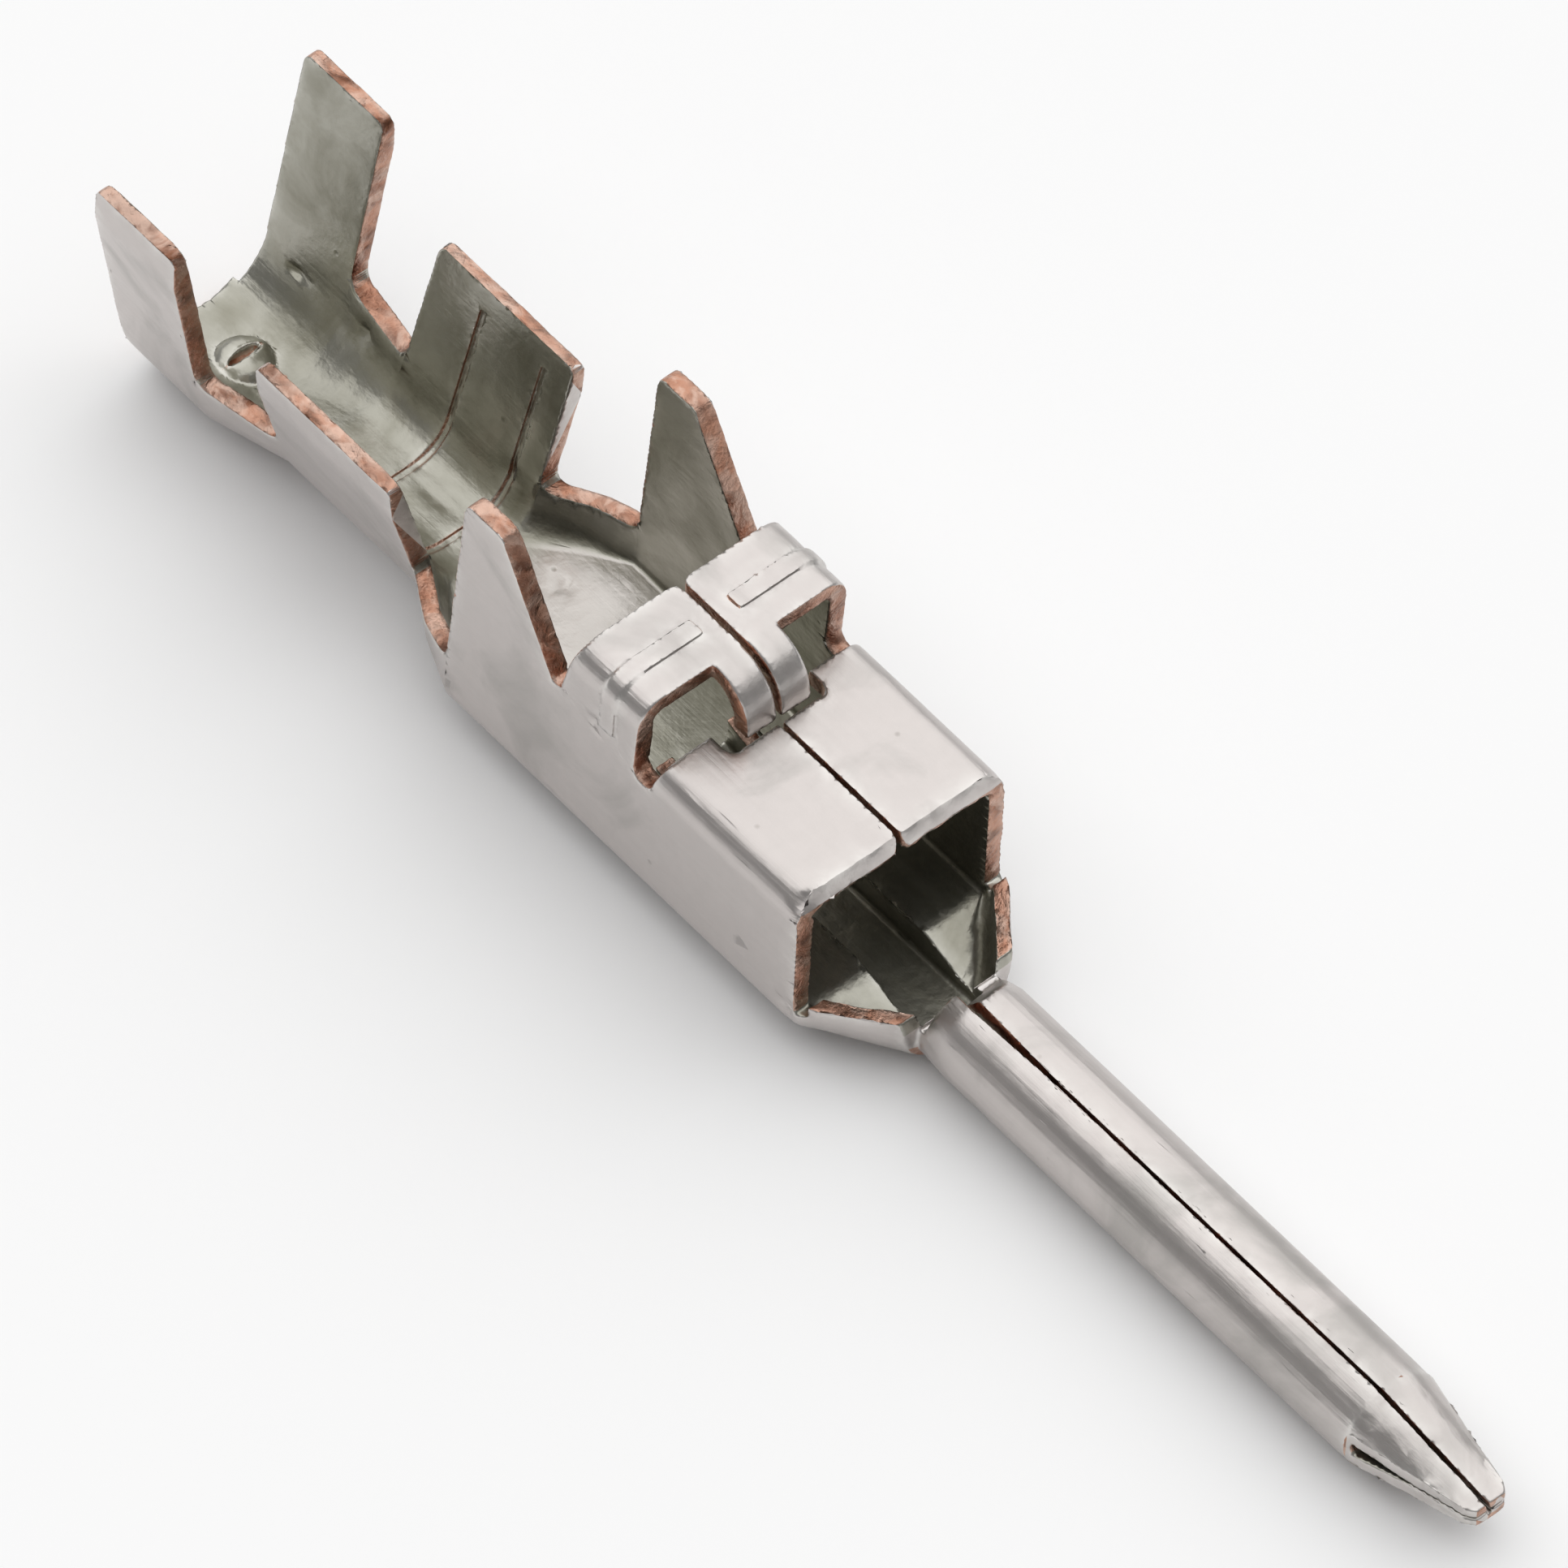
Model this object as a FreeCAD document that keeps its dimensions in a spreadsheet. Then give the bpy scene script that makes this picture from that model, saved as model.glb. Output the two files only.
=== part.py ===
import FreeCAD, Part
import math
import os
import re
import Sketcher

# A crimp pin contact, stamped and folded from one strip of plated brass sheet.
# X runs along the contact to the pin's tip, Y across it, Z up out of its floor.
# The origin is on the pin's axis, at the rear edge of the rolled pin.

NODE = "pin_contact"

# Driving dimensions in millimetres, or degrees where the note says so
SIZES = [
    ("sheet_thickness", 0.20, "thickness of the strip, everywhere"),
    ("pin_diameter", 1.00, "outside of the rolled pin"),
    ("pin_length", 5.16, "full round of the pin, rear edge to tip notch"),
    ("tip_length", 1.30, "pressed taper in front of the full round"),
    ("tip_width", 0.44, "width where the tip's nose starts"),
    ("tip_end_width", 0.32, "width of the nose's end"),
    ("tip_height", 0.25, "height at the end of the tip"),
    ("tip_side", 0.11, "half height of the tip's sides at its end"),
    ("tip_lift", 0.07, "middle of that end over the pin axis"),
    ("tip_shoulder", 0.19, "half height of the tip's sides beside the round"),
    ("tip_nose", 0.08, "length of the nose that narrows once more"),
    ("tip_solid", 0.26, "part of the tip in front of its hollow"),
    ("tip_slit", 0.02, "gap between the tip's two layers, at its end"),
    ("tip_slit_root", 0.07, "half height of that gap beside the round"),
    ("seam_gap", 0.03, "butted seam along the pin"),
    ("seam_mouth", 0.09, "seam at the pin's rear edge, where it opens"),
    ("seam_mouth_length", 1.0, "length over which the seam closes"),
    ("seam_turn", 13.0, "degrees that the seam lies off the top"),
    ("throat_length", 1.14, "open trough between box and pin"),
    ("throat_taper", 0.79, "part of the throat in which its floor narrows"),
    ("throat_width", 1.22, "across the throat at its narrow end"),
    ("throat_shoulder", 0.20, "where the throat's bends have opened up"),
    ("shoulder_width", 2.18, "across the throat there"),
    ("shoulder_bend", 0.30, "inside radius of its bends there"),
    ("shoulder_drop", 0.076, "its floor there, under the pin axis"),
    ("throat_rim", 0.27, "height of the throat's edges over the pin axis"),
    ("collar_front", 0.02, "where the pin's rear end starts to narrow"),
    ("collar_fall", 0.05, "how much its radius and its middle fall off"),
    ("slot_rear", 0.39, "V between throat and pin, behind the pin's rear edge"),
    ("slot_width", 0.05, "width of that V at its foot"),
    ("slot_near", 0.08, "its foot over the pin axis, on the side of the seam"),
    ("slot_far", 0.13, "its foot over the pin axis, on the other side"),
    ("flap_near", 0.26, "rear edge of the pin's flap on the side of the seam"),
    ("relief_width", 0.11, "relief between box wall and throat edge"),
    ("relief_depth", 0.16, "depth of that relief"),
    ("channel_length", 1.6, "full-depth channel under the box floor"),
    ("channel_runout", 1.0, "slope that brings the channel up to the floor"),
    ("channel_flat", 0.50, "flat along the channel's underside"),
    ("box_length", 4.55, "box floor, front to rear"),
    ("box_width", 2.35, "across the box walls"),
    ("box_height", 1.59, "box top over the pin axis"),
    ("floor_bend", 0.05, "inside radius where floor meets wall"),
    ("top_bend", 0.10, "inside radius where wall meets top"),
    ("wall_height", 1.15, "straight wall under the folded tops"),
    ("plate_length", 1.86, "folded top of the box, front to rear"),
    ("plate_seam", 0.035, "seam between the two folded tops"),
    ("plate_corner", 0.08, "rounded corners where that seam meets the front"),
    ("plate_bevel_length", 0.07, "coined bevel on the top's front edge"),
    ("plate_bevel_depth", 0.16, "depth of that bevel"),
    ("plate_notch_depth", 0.26, "notch in the top's rear edge, for the tab"),
    ("plate_notch_width", 1.08, "width of that notch"),
    ("window_length", 0.22, "opening between top and raised covers"),
    ("window_depth", 0.32, "how far the opening runs down each wall"),
    ("window_slant", 0.05, "lean of the opening's edges up the wall"),
    ("window_corner", 0.10, "corner at the foot of the opening"),
    ("cover_length", 0.87, "raised latch covers, front to rear"),
    ("cover_height", 2.20, "top of the covers over the pin axis"),
    ("cover_seam", 0.045, "seam between the two covers"),
    ("cover_corner", 0.10, "rounded rear corners beside that seam"),
    ("tab_width", 0.72, "tab that curves down in front of the covers"),
    ("tab_reach", 0.47, "outer radius of the tab's curve"),
    ("tab_drop", 0.11, "straight end of the tab"),
    ("rib_length", 0.19, "pressed rib over each cover, along the contact"),
    ("rib_height", 0.03, "height of that rib"),
    ("rib_inset", 0.20, "distance from the seam to the rib's end"),
    ("rib_setback", 0.30, "rib's distance behind the covers' front edge"),
    ("rib_drop", 0.35, "how far the rib runs down the wall"),
    ("notch_height", 1.53, "bottom of the V between covers and ears"),
    ("notch_width", 0.10, "width of the V at its bottom"),
    ("notch_setback", 0.15, "how far the V's foot lies behind the covers"),
    ("ear_height", 2.79, "top of the ears over the pin axis"),
    ("ear_length", 0.49, "top edge of an ear"),
    ("ear_corner", 0.07, "reach of the rounding at an ear's front corner"),
    ("ear_setback", 0.16, "rear edge of an ear, from the box's rear end"),
    ("neck_length", 0.87, "between the box and the wire barrel"),
    ("neck_wide", 0.43, "widest flare of the neck, from the box's rear end"),
    ("neck_flat", 1.20, "flat floor of the neck where it flares"),
    ("neck_bend", 0.23, "inside radius of the neck where it flares"),
    ("neck_top", 0.45, "neck's edges over the pin axis"),
    ("wire_length", 1.79, "wire barrel, front to rear"),
    ("wire_flat", 0.30, "flat along the floor of the wire barrel"),
    ("wire_bend", 0.42, "inside radius of the wire barrel"),
    ("wire_floor", 0.02, "wire barrel's floor over the pin axis"),
    ("wire_lean", 15.5, "degrees that the wire wings lean out"),
    ("wire_wing", 1.55, "wire wing above its bend"),
    ("groove_width", 0.06, "serration across the wire barrel"),
    ("groove_depth", 0.03, "depth of a serration"),
    ("groove_pitch", 0.80, "between the two serrations"),
    ("groove_first", 0.30, "front serration, behind the barrel's front edge"),
    ("waist_length", 0.91, "between the two barrels"),
    ("waist_top", 0.50, "waist's edges over the pin axis"),
    ("wrap_length", 1.06, "insulation barrel, front to rear"),
    ("wrap_flat", 0.10, "flat along its floor"),
    ("wrap_bend", 0.68, "inside radius of the insulation barrel"),
    ("wrap_floor", -0.30, "its floor, under the pin axis"),
    ("wrap_lean", 10.0, "degrees that the insulation wings lean out"),
    ("wrap_wing", 2.21, "insulation wing above its bend"),
    ("wing_bevel", 0.35, "coined bevel down the outside of a wing's tip"),
    ("wing_bevel_depth", 0.06, "sheet taken off at the tip by that bevel"),
    ("wing_corner", 0.12, "rounded corners of wings and ears"),
    ("foot_corner", 0.15, "corner where a wing meets the edge beside it"),
    ("bump_width", 0.54, "domed bump in the insulation barrel's floor"),
    ("bump_height", 0.14, "height of that bump"),
    ("bump_place", 0.41, "bump's centre behind the barrel's front edge"),
    ("bump_side", 0.06, "bump's centre off the middle of the floor"),
    ("lance_length", 0.38, "slit across the bump"),
    ("lance_width", 0.10, "width of that slit"),
    ("carrier_width", 0.84, "stub left by the carrier strip"),
    ("carrier_length", 0.07, "length of that stub"),
]

CUT_MARGIN = 0.4  # how far a cutting outline reaches past the sheet
SLIVER = 0.05  # lift that keeps a cut clear of a face it runs beside
TIP_ROOT = 0.95  # the tip's width at its root, as a share of the round there
COLLAR_WALL = "(1.05 * sheet_thickness)"  # its bore meets the pin's inside the wall
ROUND_FLAT = "(sheet_thickness / 50)"  # half of the flat left under a round floor
ALIASES = re.compile(r"\b(" + "|".join(row[0] for row in SIZES) + r")\b")

doc = FreeCAD.newDocument(NODE)
sheet = doc.addObject("Spreadsheet::Sheet", "sizes")
for number, (alias, value, note) in enumerate(SIZES, start=1):
    sheet.set(f"A{number}", alias)
    sheet.set(f"B{number}", str(value))
    sheet.set(f"C{number}", note)
    sheet.setAlias(f"B{number}", alias)
doc.recompute()

body = doc.addObject("PartDesign::Body", NODE)
body.Label = NODE
PLANES = {feature.Role: feature for feature in body.Origin.OriginFeatures}


def bound(text):
    """An expression on the sheet's cells, from one that names the bare sizes."""
    return ALIASES.sub(r"sizes.\1", str(text))


def number_of(text):
    return float(body.evalExpression(bound(text)))


def minus(text):
    return f"-({text})"


# Stations along the contact, from the pin's rear edge backwards and forwards
PIN_END = "pin_length"
TIP_END = "(pin_length + tip_length)"
BOX_FRONT = "(-throat_length)"
BOX_REAR = f"({BOX_FRONT} - box_length)"
PLATE_REAR = f"({BOX_FRONT} - plate_length)"
COVER_FRONT = f"({PLATE_REAR} - window_length)"
COVER_REAR = f"({COVER_FRONT} - cover_length)"
WINDOW_MIDDLE = f"({PLATE_REAR} - window_length / 2)"
NOTCH_FRONT = f"({COVER_REAR} - notch_setback)"
NOTCH_REAR = f"({NOTCH_FRONT} - notch_width)"
NOTCH_MIDDLE = f"({NOTCH_FRONT} - notch_width / 2)"
EAR_REAR = f"({BOX_REAR} + ear_setback)"
EAR_FRONT = f"({EAR_REAR} + ear_length)"
WIRE_FRONT = f"({BOX_REAR} - neck_length)"
WIRE_REAR = f"({WIRE_FRONT} - wire_length)"
WRAP_FRONT = f"({WIRE_REAR} - waist_length)"
WRAP_REAR = f"({WRAP_FRONT} - wrap_length)"
STRIP_REAR = f"({WRAP_REAR} - carrier_length)"
CHANNEL_REAR = f"({BOX_FRONT} - channel_length)"
THROAT_FRONT = f"({BOX_FRONT} + throat_taper)"

# Levels and half widths that several features share
PIN_RADIUS = "(pin_diameter / 2)"
BORE_RADIUS = "(pin_diameter / 2 - sheet_thickness)"
HALF_BOX = "(box_width / 2)"
HALF_INSIDE = "(box_width / 2 - sheet_thickness)"
FLOOR_FLAT = f"({HALF_INSIDE} - floor_bend)"
FOLD_LEVEL = "(floor_bend + wall_height)"
WIRE_TOP = "(wire_floor + wire_bend * (1 - sin(wire_lean)) + wire_wing * cos(wire_lean))"
WRAP_TOP = (
    "(wrap_floor + wrap_bend * (1 - sin(wrap_lean))"
    " + wrap_wing * cos(wrap_lean))"
)
SKY = f"(ear_height + {CUT_MARGIN})"


def sketch_on(role, name, station="0", turn="0"):
    """A sketch on one of the body's planes, moved along that plane's normal."""
    sketch = body.newObject("Sketcher::SketchObject", name)
    sketch.AttachmentSupport = [(PLANES[role], "")]
    sketch.MapMode = "FlatFace"
    sketch.AttachmentOffset = FreeCAD.Placement(
        FreeCAD.Vector(0, 0, number_of(station)),
        FreeCAD.Rotation(FreeCAD.Vector(1, 0, 0), number_of(turn)),
    )
    if station != "0":
        sketch.setExpression("AttachmentOffset.Base.z", bound(station))
    if turn != "0":
        sketch.setExpression("AttachmentOffset.Rotation.Angle", bound(turn))
    return sketch


def arc_between(start, end, radius, turn):
    """The short arc from start to end; turn is +1 to the left, -1 to the right."""
    chord = end - start
    side = FreeCAD.Vector(-chord.y, chord.x, 0).normalize() * turn
    depth = math.sqrt(max(radius * radius - chord.Length * chord.Length / 4, 0))
    centre = (start + end) * 0.5 + side * depth
    first, last = (start, end) if turn > 0 else (end, start)
    angles = [math.atan2(p.y - centre.y, p.x - centre.x) for p in (first, last)]
    circle = Part.Circle(centre, FreeCAD.Vector(0, 0, 1), radius)
    return Part.ArcOfCircle(circle, angles[0], angles[1])


def add_loop(sketch, corners):
    """One closed outline, each corner placed from the origin by its own two sizes.

    A corner is (across, up) before a straight edge, or (across, up, radius, turn)
    before an arc."""
    places = [FreeCAD.Vector(number_of(c[0]), number_of(c[1]), 0) for c in corners]
    first = sketch.GeometryCount
    ends = []
    edges = []
    for index, corner in enumerate(corners):
        start = places[index]
        end = places[(index + 1) % len(corners)]
        if len(corner) == 2:
            edges.append(Part.LineSegment(start, end))
            ends.append((1, 2))
        else:
            edges.append(arc_between(start, end, number_of(corner[2]), corner[3]))
            ends.append((1, 2) if corner[3] > 0 else (2, 1))
    sketch.addGeometry(edges, False)
    rules = []
    texts = []
    for index, corner in enumerate(corners):
        edge = first + index
        following = (index + 1) % len(corners)
        start = ends[index][0]
        rules.append(Sketcher.Constraint("DistanceX", -1, 1, edge, start, places[index].x))
        texts.append(corner[0])
        rules.append(Sketcher.Constraint("DistanceY", -1, 1, edge, start, places[index].y))
        texts.append(corner[1])
        if len(corner) == 4:
            rules.append(Sketcher.Constraint("Radius", edge, number_of(corner[2])))
            texts.append(corner[2])
        rules.append(
            Sketcher.Constraint("Coincident", edge, ends[index][1], first + following, ends[following][0])
        )
        texts.append(None)
    base = sketch.ConstraintCount
    sketch.addConstraint(rules)
    for index, text in enumerate(texts):
        if text is not None:
            sketch.setExpression(f"Constraints[{base + index}]", bound(text))


def outline(role, name, loops, station="0", turn="0"):
    sketch = sketch_on(role, name, station, turn)
    for corners in loops:
        add_loop(sketch, corners)
    return sketch


def circle_at(name, station, radius, level="0"):
    """A circle across the pin, with its centre at a level over the pin's axis."""
    sketch = sketch_on("YZ_Plane", name, station)
    centre = FreeCAD.Vector(0, number_of(level), 0)
    sketch.addGeometry(Part.Circle(centre, FreeCAD.Vector(0, 0, 1), number_of(radius)), False)
    sketch.addConstraint(Sketcher.Constraint("Radius", 0, number_of(radius)))
    sketch.setExpression("Constraints[0]", bound(radius))
    if level == "0":
        sketch.addConstraint(Sketcher.Constraint("Coincident", 0, 3, -1, 1))
    else:
        sketch.addConstraint(Sketcher.Constraint("PointOnObject", 0, 3, -2))
        sketch.addConstraint(Sketcher.Constraint("DistanceY", -1, 1, 0, 3, number_of(level)))
        sketch.setExpression("Constraints[2]", bound(level))
    return sketch


def mirrored(corners):
    """The same outline on the other side, walked the same way round."""
    flipped = []
    count = len(corners)
    for index in range(count):
        corner = corners[-index % count]
        edge = corners[(-index - 1) % count]
        flipped.append((minus(corner[0]), corner[1]) + tuple(edge[2:]))
    return flipped


def mirrored_across(corners):
    """A plan outline of straight edges, reflected to the other side."""
    return [(corner[0], minus(corner[1])) for corner in corners]


def strip_section(flat, bend, floor, lean, rise, bevelled=True):
    """The folded sheet cut across: floor, two bends and two leaning walls."""
    outer = f"({bend} + sheet_thickness)"
    up = f"({floor} + {bend})"
    inner_foot = (f"{flat} + {bend} * cos({lean})", f"{up} - {bend} * sin({lean})")
    outer_foot = (f"{flat} + {outer} * cos({lean})", f"{up} - {outer} * sin({lean})")
    inner_tip = (
        f"{inner_foot[0]} + {rise} * sin({lean})",
        f"{inner_foot[1]} + {rise} * cos({lean})",
    )
    outer_tip = (
        f"{outer_foot[0]} + {rise} * sin({lean})",
        f"{outer_foot[1]} + {rise} * cos({lean})",
    )
    tip = [outer_tip]
    if bevelled:
        thin = "(sheet_thickness - wing_bevel_depth)"
        tip = [
            (f"{inner_tip[0]} + {thin} * cos({lean})", f"{inner_tip[1]} - {thin} * sin({lean})"),
            (f"{outer_tip[0]} - wing_bevel * sin({lean})", f"{outer_tip[1]} - wing_bevel * cos({lean})"),
        ]
    right = [(flat, floor, bend, 1), inner_foot, inner_tip] + tip
    right.append(outer_foot + (outer, -1))
    right.append((flat, f"{floor} - sheet_thickness"))
    left = []
    for corner in reversed(right):
        left.append((minus(corner[0]), corner[1]))
    left[0] = left[0] + (outer, -1)
    left[-2] = left[-2] + (bend, 1)
    return right + left


def filled_section(flat, bend, floor, lean, rise):
    """The space inside such a folded sheet, closed across the top."""
    foot = (f"{flat} + {bend} * cos({lean})", f"{floor} + {bend} * (1 - sin({lean}))")
    tip = (f"{foot[0]} + {rise} * sin({lean})", f"{foot[1]} + {rise} * cos({lean})")
    return [
        (flat, floor, bend, 1),
        foot,
        tip,
        (minus(tip[0]), tip[1]),
        (minus(foot[0]), foot[1], bend, 1),
        (minus(flat), floor),
    ]


def domed_section(half_width, half_side, crown, lift="0"):
    """Straight sides joined over the top and underneath by shallow arcs."""
    rise = f"({crown} - {half_side})"
    arc = f"(({half_width} * {half_width} + {rise} * {rise}) / (2 * {rise}))"
    return [
        (half_width, f"{lift} - {half_side}"),
        (half_width, f"{lift} + {half_side}", arc, 1),
        (minus(half_width), f"{lift} + {half_side}"),
        (minus(half_width), f"{lift} - {half_side}", arc, 1),
    ]


def loft(kind, name, sketches):
    feature = body.newObject(f"PartDesign::{kind}Loft", name)
    feature.Profile = sketches[0]
    feature.Sections = sketches[1:]
    feature.Ruled = True
    for sketch in sketches:
        sketch.Visibility = False
    return feature


def pad(name, sketch, length, symmetric=False):
    feature = body.newObject("PartDesign::Pad", name)
    feature.Profile = sketch
    feature.Length = number_of(length)
    feature.setExpression("Length", bound(length))
    if symmetric:
        feature.SideType = "Symmetric"
    return feature


def pocket(name, sketch, length, symmetric=False, backward=False):
    """A cut that runs along the sketch's normal, against it, or both ways from it."""
    feature = body.newObject("PartDesign::Pocket", name)
    feature.Profile = sketch
    feature.Length = number_of(length)
    feature.setExpression("Length", bound(length))
    if symmetric:
        feature.SideType = "Symmetric"
    else:
        feature.Reversed = not backward
    return feature


def ellipsoid(kind, name, place, radii):
    feature = body.newObject(f"PartDesign::{kind}Ellipsoid", name)
    feature.AttachmentSupport = [(PLANES["XY_Plane"], "")]
    feature.MapMode = "FlatFace"
    for axis, text in zip("xyz", place):
        feature.setExpression(f"AttachmentOffset.Base.{axis}", bound(text))
    for name_of_radius, text in zip(("Radius2", "Radius3", "Radius1"), radii):
        feature.setExpression(name_of_radius, bound(text))
    feature.Angle1 = -90
    feature.Angle2 = 90
    feature.Angle3 = 360
    return feature


WIRE_FORM = ("(wire_flat / 2)", "wire_bend", "wire_floor", "wire_lean", "wire_wing")
WRAP_FORM = ("(wrap_flat / 2)", "wrap_bend", "wrap_floor", "wrap_lean", "wrap_wing")
NECK_FORM = ("(neck_flat / 2)", "neck_bend", "(wire_floor / 2)", "(wire_lean / 2)", "wire_wing")
BOX_FORM = (FLOOR_FLAT, "floor_bend", "0", "0", "wall_height")


def add_barrels():
    """Both barrels, the waist and the neck, at full wing height."""
    stations = [
        ("wrap_rear", STRIP_REAR, WRAP_FORM),
        ("wrap_front", WRAP_FRONT, WRAP_FORM),
        ("wire_rear", WIRE_REAR, WIRE_FORM),
        ("wire_front", WIRE_FRONT, WIRE_FORM),
        ("neck", f"({BOX_REAR} - neck_wide)", NECK_FORM),
        ("box_rear", BOX_REAR, BOX_FORM),
    ]
    sections = []
    for name, station, form in stations:
        loops = [strip_section(*form)]
        sections.append(outline("YZ_Plane", name + "_section", loops, station))
    loft("Additive", "barrels", sections)


def add_box():
    """The box's floor and walls, with the ears and both folded tops above them."""
    section = strip_section(*BOX_FORM, bevelled=False)
    lower = outline("YZ_Plane", "box_section", [section], BOX_REAR)
    pad("box_floor", lower, "box_length")
    wall = [
        (HALF_INSIDE, FOLD_LEVEL),
        (HALF_BOX, FOLD_LEVEL),
        (HALF_BOX, f"(ear_height + {SLIVER})"),
        (HALF_INSIDE, f"(ear_height + {SLIVER})"),
    ]
    ears = outline("YZ_Plane", "ear_section", [wall, mirrored(wall)], BOX_REAR)
    pad("ears", ears, f"{NOTCH_MIDDLE} - {BOX_REAR}")
    covers = outline("YZ_Plane", "cover_section", [folded_top("cover_height")], NOTCH_MIDDLE)
    pad("covers", covers, f"{WINDOW_MIDDLE} - {NOTCH_MIDDLE}")
    plates = outline("YZ_Plane", "plate_section", [folded_top("box_height")], WINDOW_MIDDLE)
    pad("plates", plates, f"{BOX_FRONT} - {WINDOW_MIDDLE}")


def folded_top(height):
    """Walls above the fold level, bent in to a flat top at the height."""
    outer = "(top_bend + sheet_thickness)"
    under = f"({height} - sheet_thickness)"
    right = [
        (HALF_BOX, FOLD_LEVEL),
        (HALF_BOX, f"{height} - {outer}", outer, 1),
        (f"{HALF_BOX} - {outer}", height),
    ]
    inside = [
        (f"{HALF_INSIDE} - top_bend", under, "top_bend", -1),
        (HALF_INSIDE, f"{under} - top_bend"),
        (HALF_INSIDE, FOLD_LEVEL),
    ]
    left = [
        (minus(right[2][0]), height, outer, 1),
        (minus(HALF_BOX), right[1][1]),
        (minus(HALF_BOX), FOLD_LEVEL),
    ]
    left_inside = [
        (minus(HALF_INSIDE), FOLD_LEVEL),
        (minus(HALF_INSIDE), inside[1][1], "top_bend", -1),
        (minus(inside[0][0]), under),
    ]
    return right + left + left_inside + inside


def add_pin():
    """The throat, the channel under the floor, the rolled pin and its pressed tip."""
    loft("Additive", "throat", throat_sections("throat", "sheet_thickness", "0"))
    deep = channel_form("sheet_thickness", "0")
    shallow = channel_form("sheet_thickness", f"({BORE_RADIUS} + {SLIVER})")
    start = f"({CHANNEL_REAR} - channel_runout)"
    runout = [
        outline("YZ_Plane", "runout_rear_section", [filled_section(*shallow)], start),
        outline("YZ_Plane", "runout_front_section", [filled_section(*deep)], CHANNEL_REAR),
    ]
    loft("Additive", "channel_runout", runout)
    channel = outline("YZ_Plane", "channel_section", [filled_section(*deep)], CHANNEL_REAR)
    pad("channel", channel, "channel_length")
    inside_skin = f"({PIN_RADIUS} - {SLIVER})"
    bend = f"({inside_skin} - {SLIVER})"
    round_form = (SLIVER, bend, minus(inside_skin), "0", SLIVER)
    mouth = [
        outline("YZ_Plane", "channel_mouth_rear", [filled_section(*deep)], BOX_FRONT),
        outline("YZ_Plane", "channel_mouth_front", [filled_section(*round_form)], THROAT_FRONT),
    ]
    loft("Additive", "channel_mouth", mouth)
    loft("Additive", "collar", collar_circles("collar", "0"))
    pad("pin", circle_at("pin_section", "-collar_front", PIN_RADIUS), f"{PIN_END} + collar_front")
    add_tip()


def throat_sections(name, wall, over):
    """The trough where it leaves the box, at its shoulder and at its end.

    The wall is added outside the trough's inside, and its top lies over the rim."""
    stations = [BOX_FRONT, f"({BOX_FRONT} + throat_shoulder)", THROAT_FRONT]
    widths = ["box_width", "shoulder_width", "throat_width"]
    bends = ["floor_bend", "shoulder_bend", f"(throat_width / 2 - sheet_thickness - {ROUND_FLAT})"]
    floors = ["0", "(-shoulder_drop)", f"(sheet_thickness - {PIN_RADIUS} + {SLIVER} / 2)"]
    sections = []
    for index, station in enumerate(stations):
        flat = f"({widths[index]} / 2 - sheet_thickness - {bends[index]})"
        rise = f"(throat_rim + {over} - {floors[index]} - {bends[index]})"
        form = (flat, f"({bends[index]} + {wall})", f"({floors[index]} - {wall})", "0", rise)
        sections.append(outline("YZ_Plane", f"{name}_{index}", [filled_section(*form)], station))
    return sections


def collar_circles(name, wall):
    """Two circles between which the pin's rear end narrows, a wall inside its skin."""
    rear = circle_at(
        name + "_rear",
        f"({THROAT_FRONT} - {SLIVER})",
        f"({PIN_RADIUS} - collar_fall - {wall})",
        "-collar_fall",
    )
    return [rear, circle_at(name + "_front", "-collar_front", f"({PIN_RADIUS} - {wall})")]


def add_tip():
    """The taper, pressed flat at its sides and domed between them."""
    end = ("tip_side", "(tip_height / 2)", "tip_lift")
    stations = [
        ("tip_rear", PIN_END, (f"({TIP_ROOT} * {PIN_RADIUS})", "tip_shoulder", PIN_RADIUS)),
        ("tip_front", f"({TIP_END} - tip_nose)", ("(tip_width / 2)",) + end),
        ("tip_nose", TIP_END, ("(tip_end_width / 2)",) + end),
    ]
    sections = []
    for name, station, form in stations:
        loops = [domed_section(*form)]
        sections.append(outline("YZ_Plane", name + "_section", loops, station))
    loft("Additive", "tip", sections)


def channel_form(wall, lift):
    """The channel's outside; its bends are centred with those of its inside."""
    flat = "(channel_flat / 2)"
    bend = f"(pin_diameter / 2 - sheet_thickness - {flat} + {wall})"
    floor = f"({lift} - pin_diameter / 2 + sheet_thickness - {wall})"
    return (flat, bend, floor, "0", f"({PIN_RADIUS} - {bend})")


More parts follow.
